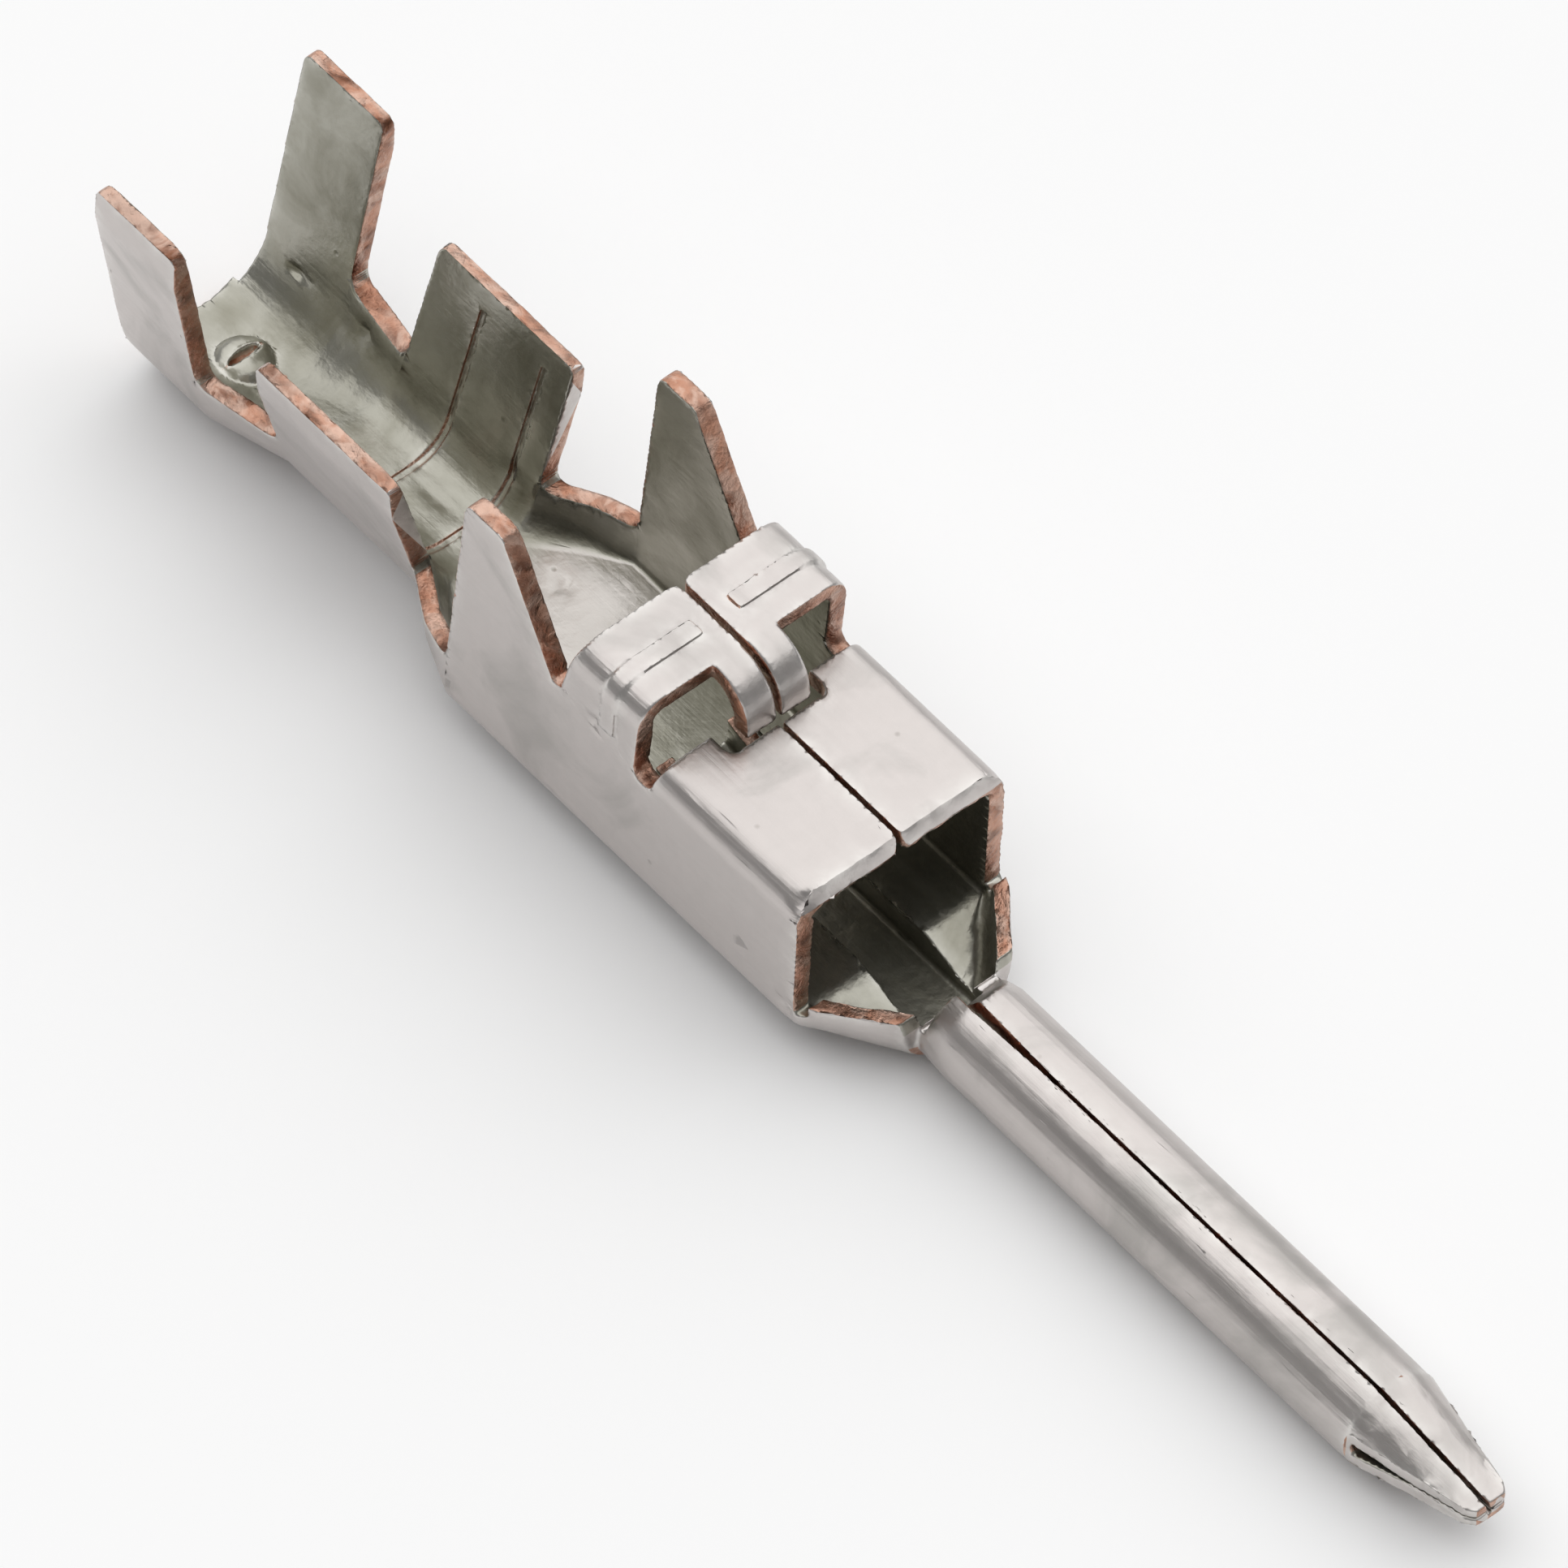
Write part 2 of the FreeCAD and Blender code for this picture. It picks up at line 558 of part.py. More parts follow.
def hollow_pin():
    """The groove of the channel, the bore of the pin and the space in its tip."""
    inside = ("(channel_flat / 2)", f"({BORE_RADIUS} - channel_flat / 2)")
    rise = f"({BORE_RADIUS} - {inside[1]} + {SLIVER})"
    deep = inside + (minus(BORE_RADIUS), "0", rise)
    shallow = inside + (f"{SLIVER}", "0", rise)
    start = f"({CHANNEL_REAR} - channel_runout)"
    runout = [
        outline("YZ_Plane", "groove_rear_section", [filled_section(*shallow)], start),
        outline("YZ_Plane", "groove_front_section", [filled_section(*deep)], CHANNEL_REAR),
    ]
    loft("Subtractive", "channel_groove_runout", runout)
    groove = outline("YZ_Plane", "channel_groove_section", [filled_section(*deep)], CHANNEL_REAR)
    pocket("channel_groove", groove, f"{THROAT_FRONT} - {CHANNEL_REAR}")
    loft("Subtractive", "throat_hollow", throat_sections("throat_hollow", "0", f"{SLIVER}"))
    loft("Subtractive", "collar_bore", collar_circles("collar_bore", COLLAR_WALL))
    bore = circle_at("bore_section", "-collar_front", BORE_RADIUS)
    pocket("bore", bore, f"{PIN_END} + collar_front")
    cut_pin_seam()
    root = f"({TIP_ROOT} * {BORE_RADIUS})"
    open_form = domed_section(root, "tip_slit", root)
    closed_form = domed_section("(tip_width / 4)", "(tip_slit / 2)", "tip_slit", "tip_lift")
    closed = f"({TIP_END} - tip_solid)"
    hollow = [
        outline("YZ_Plane", "tip_hollow_rear", [open_form], PIN_END),
        outline("YZ_Plane", "tip_hollow_front", [closed_form], closed),
    ]
    loft("Subtractive", "tip_hollow", hollow)


def cut_edges():
    """The sheared outline seen from the side, cut through both walls at once."""
    across = f"(box_width + {CUT_MARGIN})"
    run = f"({NOTCH_REAR} - {EAR_FRONT})"
    drop = "(ear_height - notch_height)"
    slant = f"sqrt({run} * {run} + {drop} * {drop})"
    behind = f"({STRIP_REAR} - {CUT_MARGIN})"
    blank = [
        (behind, f"{WRAP_TOP} - wing_corner"),
        (WRAP_REAR, f"{WRAP_TOP} - wing_corner", "wing_corner", -1),
        (f"{WRAP_REAR} + wing_corner", WRAP_TOP),
        (f"{WRAP_REAR} + wing_corner", f"{WRAP_TOP} + {SLIVER}"),
        (f"{WRAP_FRONT} - wing_corner", f"{WRAP_TOP} + {SLIVER}"),
        (f"{WRAP_FRONT} - wing_corner", WRAP_TOP, "wing_corner", -1),
        (WRAP_FRONT, f"{WRAP_TOP} - wing_corner"),
        (WRAP_FRONT, "waist_top + foot_corner", "foot_corner", 1),
        (f"{WRAP_FRONT} + foot_corner", "waist_top"),
        (f"{WIRE_REAR} - foot_corner", "waist_top", "foot_corner", 1),
        (WIRE_REAR, "waist_top + foot_corner"),
        (WIRE_REAR, f"{WIRE_TOP} - wing_corner", "wing_corner", -1),
        (f"{WIRE_REAR} + wing_corner", WIRE_TOP),
        (f"{WIRE_REAR} + wing_corner", f"{WIRE_TOP} + {SLIVER}"),
        (f"{WIRE_FRONT} - wing_corner", f"{WIRE_TOP} + {SLIVER}"),
        (f"{WIRE_FRONT} - wing_corner", WIRE_TOP, "wing_corner", -1),
        (WIRE_FRONT, f"{WIRE_TOP} - wing_corner"),
        (WIRE_FRONT, "neck_top + foot_corner", "foot_corner", 1),
        (f"{WIRE_FRONT} + foot_corner", "neck_top"),
        (f"{BOX_REAR} - foot_corner", "neck_top", "foot_corner", 1),
        (BOX_REAR, "neck_top + foot_corner"),
        (EAR_REAR, "ear_height - wing_corner", "wing_corner", -1),
        (f"{EAR_REAR} + wing_corner", "ear_height"),
        (f"{EAR_FRONT} - ear_corner", "ear_height", "wing_corner", -1),
        (f"{EAR_FRONT} + ear_corner * {run} / {slant}", f"ear_height - ear_corner * {drop} / {slant}"),
        (NOTCH_REAR, "notch_height", "notch_width", 1),
        (NOTCH_FRONT, "notch_height"),
        (COVER_REAR, "cover_height"),
        (COVER_REAR, SKY),
        (behind, SKY),
    ]
    pocket("sheared_outline", outline("XZ_Plane", "side_outline", [blank]), across, True)
    slot = outline("XZ_Plane", "window_outline", [window_outline()])
    pocket("windows", slot, across, True)
    cut_throat(across)
    pocket("tip_slit", outline("XZ_Plane", "tip_outline", [tip_outline()]), across, True)
    sides = [
        (f"{STRIP_REAR} - {CUT_MARGIN}", "carrier_width / 2"),
        (WRAP_REAR, "carrier_width / 2"),
        (WRAP_REAR, f"({HALF_BOX} + {CUT_MARGIN})"),
        (f"{STRIP_REAR} - {CUT_MARGIN}", f"({HALF_BOX} + {CUT_MARGIN})"),
    ]
    stub = outline("XY_Plane", "carrier_outline", [sides, mirrored_across(sides)])
    pocket("carrier_stub", stub, f"(2 * {SKY})", True)


def cut_throat(across):
    """The reliefs beside the box, the Vs between throat and pin, the pin's open rear."""
    foot = "(throat_rim - relief_depth)"
    front = f"({BOX_FRONT} + relief_width)"
    relief = [
        (BOX_FRONT, foot),
        (f"{front} - relief_width / 2", foot, "(relief_width / 2)", 1),
        (front, f"{foot} + relief_width / 2"),
        (front, f"throat_rim + {SLIVER}"),
        (BOX_FRONT, f"throat_rim + {SLIVER}"),
    ]
    pocket("reliefs", outline("XZ_Plane", "relief_outline", [relief]), across, True)
    seam_side = f"({PIN_RADIUS} * sin(seam_turn))"
    near = outline("XZ_Plane", "near_slot", [slot_outline("slot_near", "-flap_near")], seam_side)
    pocket("near_opening", near, across)
    far = outline("XZ_Plane", "far_slot", [slot_outline("slot_far", "0")], seam_side)
    pocket("far_opening", far, across, backward=True)


def slot_outline(level, edge):
    """Open above the throat, down into the V and up the pin's rear edge."""
    behind = f"({THROAT_FRONT} - 2 * {SLIVER})"
    foot = "(slot_width - slot_rear)"
    top = f"({PIN_RADIUS} + {SLIVER})"
    return [
        (behind, "throat_rim"),
        ("-slot_rear", "throat_rim"),
        (foot, level),
        (f"{foot} + slot_width", level),
        (edge, top),
        (behind, top),
    ]


def tip_outline():
    """The gap between the tip's two layers, rounded where it ends beside the pin."""
    root = f"({PIN_END} + tip_slit_root)"
    middle = f"({PIN_END} + tip_length / 2)"
    beyond = f"({TIP_END} + {CUT_MARGIN})"
    level = f"(1 + {CUT_MARGIN} / tip_length)"
    return [
        (root, "tip_slit_root", "(tip_slit_root + tip_slit)", 1),
        (root, minus("tip_slit_root")),
        (middle, "tip_lift / 2 - tip_slit / 2"),
        (beyond, f"tip_lift * {level} - tip_slit / 2"),
        (beyond, f"tip_lift * {level} + tip_slit / 2"),
        (middle, "tip_lift / 2 + tip_slit / 2"),
    ]


def window_outline():
    """The opening between covers and top, down to its rounded foot."""
    foot = "(box_height - window_depth)"
    rear = f"({COVER_FRONT} - window_slant)"
    front = f"({PLATE_REAR} - window_slant)"
    return [
        (rear, f"{foot} + window_corner", "window_corner", 1),
        (f"{rear} + window_corner", foot),
        (f"{front} - window_corner", foot, "window_corner", 1),
        (front, f"{foot} + window_corner"),
        (PLATE_REAR, "box_height"),
        (PLATE_REAR, SKY),
        (COVER_FRONT, SKY),
        (COVER_FRONT, "cover_height"),
    ]


def cut_plates():
    """The seam, notch and coined front edge of the box's folded top."""
    level = f"(box_height - sheet_thickness - {SLIVER})"
    through = f"(sheet_thickness + 2 * {SLIVER})"
    notch_front = f"({PLATE_REAR} + plate_notch_depth)"
    notch_behind = f"({PLATE_REAR} - window_slant - {SLIVER})"
    half = "(plate_notch_width / 2)"
    notch = [
        (notch_behind, minus(half)),
        (f"{notch_front} - window_corner", minus(half), "window_corner", 1),
        (notch_front, f"{minus(half)} + window_corner"),
        (notch_front, f"{half} - window_corner", "window_corner", 1),
        (f"{notch_front} - window_corner", half),
        (notch_behind, half),
    ]
    pocket("plate_notch", outline("XY_Plane", "notch_outline", [notch], level), through)
    edge = "(plate_seam / 2)"
    ahead = f"({BOX_FRONT} + {SLIVER})"
    seam = [
        (f"{notch_front} - {SLIVER}", minus(edge)),
        (f"{BOX_FRONT} - plate_corner", minus(edge), "plate_corner", -1),
        (BOX_FRONT, f"{minus(edge)} - plate_corner"),
        (ahead, f"{minus(edge)} - plate_corner"),
        (ahead, f"{edge} + plate_corner"),
        (BOX_FRONT, f"{edge} + plate_corner", "plate_corner", -1),
        (f"{BOX_FRONT} - plate_corner", edge),
        (f"{notch_front} - {SLIVER}", edge),
    ]
    pocket("plate_seam_cut", outline("XY_Plane", "plate_seam_outline", [seam], level), through)
    bevel = [
        (f"{BOX_FRONT} - plate_bevel_length", "box_height"),
        (BOX_FRONT, "box_height - plate_bevel_depth"),
        (ahead, "box_height - plate_bevel_depth"),
        (ahead, f"box_height + {SLIVER}"),
        (f"{BOX_FRONT} - plate_bevel_length", f"box_height + {SLIVER}"),
    ]
    face = outline("XZ_Plane", "plate_bevel_outline", [bevel])
    pocket("plate_bevel", face, f"(box_width + {CUT_MARGIN})", True)


def add_latch():
    """The tab that curves down in front of the covers, their seam and their ribs."""
    inner = "(tab_reach - sheet_thickness)"
    behind = f"({COVER_FRONT} - window_corner)"
    end = "(cover_height - tab_reach - tab_drop)"
    curl = [
        (behind, "cover_height"),
        (COVER_FRONT, "cover_height", "tab_reach", -1),
        (f"{COVER_FRONT} + tab_reach", "cover_height - tab_reach"),
        (f"{COVER_FRONT} + tab_reach", end),
        (f"{COVER_FRONT} + {inner}", end),
        (f"{COVER_FRONT} + {inner}", "cover_height - tab_reach", inner, 1),
        (COVER_FRONT, "cover_height - sheet_thickness"),
        (behind, "cover_height - sheet_thickness"),
    ]
    pad("latch_tab", outline("XZ_Plane", "tab_outline", [curl]), "tab_width", True)
    edge = "(cover_seam / 2)"
    back = f"({COVER_REAR} - {SLIVER})"
    front = f"({COVER_FRONT} + tab_reach + {SLIVER})"
    seam = [
        (back, f"{minus(edge)} - cover_corner"),
        (COVER_REAR, f"{minus(edge)} - cover_corner", "cover_corner", -1),
        (f"{COVER_REAR} + cover_corner", minus(edge)),
        (front, minus(edge)),
        (front, edge),
        (f"{COVER_REAR} + cover_corner", edge, "cover_corner", -1),
        (COVER_REAR, f"{edge} + cover_corner"),
        (back, f"{edge} + cover_corner"),
    ]
    level = "((box_height + cover_height - tab_reach - tab_drop) / 2)"
    above = f"(cover_height - {level} + {SLIVER})"
    pocket("cover_seam_cut", outline("XY_Plane", "cover_seam_outline", [seam], level), above)
    band = rib_outline()
    station = f"({COVER_FRONT} - rib_setback - rib_length)"
    pad("cover_ribs", outline("YZ_Plane", "rib_outline", [band, mirrored(band)], station), "rib_length")


def rib_outline():
    """A band over one cover's top, its bend and a little of its wall."""
    bend = "(top_bend + sheet_thickness)"
    centre = f"({HALF_BOX} - {bend})"
    level = f"(cover_height - {bend})"
    return [
        ("rib_inset", "cover_height + rib_height"),
        (centre, "cover_height + rib_height", f"({bend} + rib_height)", -1),
        (f"{HALF_BOX} + rib_height", level),
        (f"{HALF_BOX} + rib_height", f"{level} - rib_drop"),
        (f"{HALF_BOX} - {SLIVER}", f"{level} - rib_drop"),
        (f"{HALF_BOX} - {SLIVER}", level, f"({bend} - {SLIVER})", 1),
        (centre, f"cover_height - {SLIVER}"),
        ("rib_inset", f"cover_height - {SLIVER}"),
    ]


def cut_pin_seam():
    """The butted seam, wide at the pin's rear edge and running out through the tip."""
    beyond = f"({TIP_END} + {SLIVER})"
    half = [
        (THROAT_FRONT, "-seam_mouth / 2"),
        ("0", "-seam_mouth / 2"),
        ("seam_mouth_length", "-seam_gap / 2"),
        (beyond, "-seam_gap / 2"),
    ]
    seam = half + list(reversed(mirrored_across(half)))
    sketch = outline("XY_Plane", "pin_seam_outline", [seam], "0", "seam_turn")
    pocket("pin_seam", sketch, f"({PIN_RADIUS} + {SLIVER})")


def add_serrations():
    """Grooves across the inside of the wire barrel."""
    for index in range(2):
        station = f"({WIRE_FRONT} - groove_first - groove_width - groove_pitch * {index})"
        form = (
            WIRE_FORM[0],
            "(wire_bend + groove_depth)",
            "(wire_floor - groove_depth)",
            "wire_lean",
            "(wire_wing - 2 * wing_corner)",
        )
        sketch = outline("YZ_Plane", f"groove_{index}_section", [filled_section(*form)], station)
        pocket(f"groove_{index}", sketch, "groove_width")


def add_bump():
    """The pierced dome that grips the wire's insulation."""
    place = (f"({WRAP_FRONT} - bump_place)", "-bump_side", "wrap_floor")
    ellipsoid("Additive", "bump", place, ("bump_width / 2", "bump_width / 2", "bump_height"))
    top = (place[0], place[1], "wrap_floor + bump_height")
    ellipsoid("Subtractive", "lance", top, ("lance_width / 2", "lance_length / 2", "bump_height"))


add_barrels()
add_box()
add_pin()
hollow_pin()
cut_edges()
cut_plates()
add_latch()
add_serrations()
add_bump()
for feature in body.Group:
    if hasattr(feature, "Refine"):
        feature.Refine = False
body.Tip.Refine = True
doc.recompute()


def check(feature):
    bad = {"Invalid", "Error"} & set(feature.State)
    if bad:
        raise RuntimeError(f"{feature.Name} is {feature.State}")


for feature in doc.Objects:
    check(feature)
if body.Shape.isNull() or not body.Shape.isValid():
    raise RuntimeError("the contact's solid isn't valid")
os.makedirs("parts", exist_ok=True)
body.Shape.exportStep(os.path.join("parts", f"{body.Label}.step"))
print(body.Label, len(body.Shape.Solids), round(body.Shape.Volume, 4), body.Shape.BoundBox)
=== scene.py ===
import math

import bmesh
import bpy
from mathutils import Matrix, Vector, noise
from mathutils.bvhtree import BVHTree
from mathutils.kdtree import KDTree


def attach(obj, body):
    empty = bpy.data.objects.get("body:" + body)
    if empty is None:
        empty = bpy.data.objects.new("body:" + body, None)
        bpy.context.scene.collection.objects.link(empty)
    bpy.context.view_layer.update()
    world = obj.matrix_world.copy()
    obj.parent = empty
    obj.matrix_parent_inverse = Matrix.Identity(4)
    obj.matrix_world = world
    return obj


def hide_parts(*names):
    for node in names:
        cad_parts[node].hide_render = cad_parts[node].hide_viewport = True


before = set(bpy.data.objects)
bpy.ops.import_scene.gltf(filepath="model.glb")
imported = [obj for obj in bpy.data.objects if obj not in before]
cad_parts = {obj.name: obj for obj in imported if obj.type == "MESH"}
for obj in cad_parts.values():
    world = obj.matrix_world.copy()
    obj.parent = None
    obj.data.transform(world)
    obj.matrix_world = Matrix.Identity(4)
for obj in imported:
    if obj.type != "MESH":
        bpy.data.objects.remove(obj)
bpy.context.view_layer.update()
mm = 0.001

# The camera looks down on the open barrels from the pin's side, nearly without perspective
view = {
    "right": (0.6521, 0.7575, 0.0315),
    "up": (-0.6185, 0.5075, 0.6000),
    "back": (0.4385, -0.4108, 0.7994),
    "aim": (-2.080, -0.521, 1.838),
    "width": 13.233,
    "lens": 650.0,
    "sensor": 36.0,
    "clip": (0.01, 10.0),
}


def makeCamera():
    data = bpy.data.cameras.new("photoCamera")
    data.sensor_width = view["sensor"]
    data.lens = view["lens"]
    data.clip_start, data.clip_end = view["clip"]
    camera = bpy.data.objects.new("photoCamera", data)
    bpy.context.scene.collection.objects.link(camera)
    turn = Matrix((view["right"], view["up"], view["back"])).transposed()
    distance = view["width"] * mm * view["lens"] / view["sensor"]
    place = Vector(view["aim"]) * mm + Vector(view["back"]) * distance
    camera.matrix_world = Matrix.Translation(place) @ turn.to_4x4()
    bpy.context.scene.camera = camera


makeCamera()
print("camera placed")

# The folded strip: how its mesh is cleaned, sorted, rounded and roughened (millimetres, degrees)
strip = {
    "weld": 0.0003,  # corners this near are the same corner
    "hairline": 0.0001,
    "crumbs": 0.004,  # edges shorter than this are closed up
    "flatAngle": 0.4,  # faces that turn less than this are joined
    "skinReach": 0.30,  # a face with metal deeper than this behind it is a sheared edge
    "sharpAngle": 32.0,
    "axisHeight": 0.80,  # middle of the folded form, that its inside faces look at
    "pinStart": -0.35,
    "longestEdge": 0.13,
    "rimEdge": 0.055,
    "rimBand": 0.06,
    "rimStep": 0.03,  # spacing of the points that stand for the sharp edges
    "rolls": 2,
    "roll": 0.32,
    "faces": 185000,  # kept when the rounded mesh is thinned
    "wander": 0.010,  # how far a sheared edge strays
    "wanderReach": 0.10,
    "lumpScale": 5.0,
    "ripple": 0.002,  # how far a flat strays
    "torn": 0.022,  # how much further an edge strays beside the throat
    "wearAndHighlightReach": 0.06,
}
skins = {"outside": 0, "inside": 1, "sheared": 2}

# Places on the strip that the tests below look for: spans along it, heights and reaches
places = {
    "throat": {"span": (-1.14, -0.30), "above": 0.15, "facing": 0.5},
    "torn": {"span": (-1.25, -0.40)},
    "neck": {"span": (-6.62, -5.60), "height": (0.40, 0.60)},
    "waist": {"span": (-9.34, -8.28), "height": (0.44, 0.66)},
    "rims": {"beyond": 0.5, "facing": 0.75},
    "coined": {"from": -1.25, "line": (-1.26, -1.12), "above": 1.35, "facing": (0.3, 0.2)},
    "channel": {"span": (-3.95, -1.16), "below": 0.12, "within": 0.9},
    "bump": {"at": (-9.67, -0.06), "radius": 0.30, "slit": (0.05, 0.19), "slack": 1.1},
    "floor": {
        "height": (-0.10, 0.12),
        "from": -6.50,
        "to": -4.70,
        "fadeIn": 0.30,
        "fadeOut": 0.60,
        "facing": (0.85, 0.12),
    },
}

# The pin's seam: where its faces lie, and how far they are closed to a V
seam = {
    "turn": 13.0,
    "above": 0.10,
    "within": 0.25,
    "steep": 0.4,
    "crosswise": 0.5,
    "span": (-0.25, 4.90),
    "reach": 0.07,
    "inner": 0.36,
    "wall": 0.13,
    "close": 0.80,
    "ease": 0.6,
}


def between(value, limits):
    return limits[0] < value < limits[1]


def clamp(value):
    return min(1.0, max(0.0, value))


def faceSamples(face):
    middle = face.calc_center_median()
    points = [middle]
    for vert in face.verts:
        points.append(middle.lerp(vert.co, 0.7))
    return points


def metalBehind(tree, face):
    # shortest way through the metal behind a face
    shortest = 1.0
    for point in faceSamples(face):
        start = point - face.normal * 2e-6
        hit = tree.ray_cast(start, -face.normal)
        if hit[3] is not None:
            shortest = min(shortest, hit[3])
    return shortest


def looksInside(face):
    middle = face.calc_center_median()
    height = 0.0 if middle.x > strip["pinStart"] * mm else strip["axisHeight"] * mm
    towards = Vector((0.0, -middle.y, height - middle.z))
    return face.normal.dot(towards) > 0.0


def coinedFront(face):
    place = places["coined"]
    middle = face.calc_center_median() / mm
    front = middle.x > place["from"] and middle.z > place["above"]
    return front and face.normal.x > place["facing"][0] and face.normal.z > place["facing"][1]


def rolledSeam(face):
    # the butted edges along the pin look round it, not outwards
    middle = face.calc_center_median()
    if middle.x < strip["pinStart"] * mm or abs(face.normal.x) > seam["crosswise"]:
        return False
    outwards = Vector((0.0, middle.y, middle.z)).normalized()
    overAxis = middle.z > seam["above"] * mm and abs(middle.y) < seam["within"] * mm
    return overAxis and abs(face.normal.dot(outwards)) < seam["steep"]


def lowRim(face):
    # edges that face the sky where the sheet is too low for the depth test: throat, neck and waist
    x, y, z = face.calc_center_median() / mm
    throat, rims = places["throat"], places["rims"]
    if between(x, throat["span"]) and z > throat["above"] and face.normal.z > throat["facing"]:
        return True
    low = any(
        between(x, places[name]["span"]) and between(z, places[name]["height"])
        for name in ("neck", "waist")
    )
    return low and abs(y) > rims["beyond"] and face.normal.z > rims["facing"]


def keptTin(face):
    # deep metal that still has its plating: the channel's rims and the bump beside its slit
    x, y, z = face.calc_center_median() / mm
    channel, bump = places["channel"], places["bump"]
    if between(x, channel["span"]) and z < channel["below"] and abs(y) < channel["within"]:
        return True
    along, across = x - bump["at"][0], y - bump["at"][1]
    slit = math.hypot(along / bump["slit"][0], across / bump["slit"][1]) < bump["slack"]
    return math.hypot(along, across) < bump["radius"] and z < 0.0 and not slit


def litFloorMask(vert):
    # painted light: the floor behind the covers, where it faces up, is brighter than the rest of the
    # inside, lifting the inside's painted shade there
    floor = places["floor"]
    x, y, z = vert.co / mm
    if not between(z, floor["height"]):
        return 0.0
    span = clamp((x - floor["from"]) / floor["fadeIn"]) * clamp((floor["to"] - x) / floor["fadeOut"])
    return span * clamp((vert.normal.z - floor["facing"][0]) / floor["facing"][1])


def skinOf(face, tree):
    if rolledSeam(face) or lowRim(face):
        return "sheared"
    deep = metalBehind(tree, face) > strip["skinReach"] * mm
    if deep and not keptTin(face) and not coinedFront(face):
        return "sheared"
    return "inside" if looksInside(face) else "outside"


def sortSkins(bm):
    tree = BVHTree.FromBMesh(bm)
    for face in bm.faces:
        face.material_index = skins[skinOf(face, tree)]


def sharpEdges(bm, angle):
    limit = math.radians(angle)
    return [e for e in bm.edges if len(e.link_faces) == 2 and e.calc_face_angle() > limit]


def splitLong(bm, longest):
    for _ in range(8):
        long = [e for e in bm.edges if e.calc_length() > longest]
        if not long:
            break
        bmesh.ops.subdivide_edges(bm, edges=long, cuts=1)
        bmesh.ops.triangulate(bm, faces=bm.faces[:])


def splitBesideRims(bm, rimTree):
    for _ in range(4):
        longest = strip["rimEdge"] * mm
        beside = []
        for edge in bm.edges:
            if edge.calc_length() > longest:
                middle = (edge.verts[0].co + edge.verts[1].co) / 2
                if rimTree.find(middle)[2] < strip["rimBand"] * mm:
                    beside.append(edge)
        if not beside:
            break
        bmesh.ops.subdivide_edges(bm, edges=beside, cuts=1)
        bmesh.ops.triangulate(bm, faces=bm.faces[:])


def onCoinedFront(edge):
    # the crisp line that the coining leaves along the folded top
    place = places["coined"]
    middle = (edge.verts[0].co + edge.verts[1].co) / 2 / mm
    if not between(middle.x, place["line"]) or middle.z <= place["above"]:
        return False
    return all(face.material_index != skins["sheared"] for face in edge.link_faces)


def closeSeam(bm):
    # the pin's rolled edges butt at their inner corner, so the seam is a V
    turn = math.radians(seam["turn"])
    for vert in bm.verts:
        x, y, z = vert.co / mm
        off = y * math.cos(turn) + z * math.sin(turn)
        height = z * math.cos(turn) - y * math.sin(turn)
        if between(x, seam["span"]) and height > 0 and abs(off) < seam["reach"]:
            outer = clamp((math.hypot(y, z) - seam["inner"]) / seam["wall"])
            ease = min(1.0, (seam["span"][1] - x) / seam["ease"])
            shift = -off * (1.0 - outer) * seam["close"] * ease * mm
            vert.co.y += shift * math.cos(turn)
            vert.co.z += shift * math.sin(turn)


def roundRims(bm):
    # the die rolls each edge over a little
    rims = [edge for edge in sharpEdges(bm, strip["sharpAngle"]) if not onCoinedFront(edge)]
    verts = list({vert for edge in rims for vert in edge.verts})
    for _ in range(strip["rolls"]):
        bmesh.ops.smooth_vert(
            bm,
            verts=verts,
            factor=strip["roll"],
            use_axis_x=True,
            use_axis_y=True,
            use_axis_z=True,
        )


def pointTree(points):
    tree = KDTree(len(points))
    for index, point in enumerate(points):
        tree.insert(point, index)
    tree.balance()
    return tree


def alongEdges(edges, step):
    points = []
    for edge in edges:
        a, b = edge.verts[0].co, edge.verts[1].co
        count = max(1, int((b - a).length / step))
        for index in range(count + 1):
            points.append(a.lerp(b, index / count))
    return points


def wander(bm, rimTree):
    # the sheared edges stray inwards a little, and the flats ripple; nothing grows outwards
    for vert in bm.verts:
        place = vert.co / mm
        near = math.exp(-rimTree.find(vert.co)[2] / mm / strip["wanderReach"])
        lumps = 0.5 + 0.5 * noise.noise(place * strip["lumpScale"])
        depth = strip["ripple"] + strip["wander"] * near
        if between(place.x, places["torn"]["span"]):
            depth += strip["torn"] * near
        vert.co -= vert.normal * depth * lumps * mm


# Marks pressed into the sheet: where, how far they reach along and across, and how deep
marks = [
    {"at": (-5.93, 0.33, 0.02), "reach": (0.22, 0.12), "depth": 0.030, "up": (0, 0, 1)},
    {"at": (-3.78, -1.17, 1.50), "reach": (0.05, 0.14), "depth": 0.030, "up": (0, -1, 0)},
    {"at": (-2.65, 0.76, 1.59), "reach": (0.07, 0.10), "depth": 0.020, "up": (0, 0, 1)},
    {"at": (-8.90, 0.72, 0.24), "reach": (0.12, 0.10), "depth": 0.060, "up": (0, -0.9, 0.4)},
    {"at": (-9.84, 0.62, 0.20), "reach": (0.17, 0.08), "depth": 0.060, "up": (0, -0.8, 0.6)},
    {"at": (-1.20, -1.05, 1.52), "reach": (0.12, 0.16), "depth": 0.035, "up": (0.3, -0.7, 0.7)},
    {"at": (-1.22, -1.15, 0.10), "reach": (0.10, 0.20), "depth": 0.030, "up": (0.3, -0.9, 0)},
    {"at": (-7.30, 0.10, 0.03), "reach": (0.35, 0.10), "depth": 0.020, "up": (0, 0, 1)},
    {"at": (-6.90, 0.55, 0.40), "reach": (0.25, 0.16), "depth": 0.025, "up": (0, -0.8, 0.5)},
]


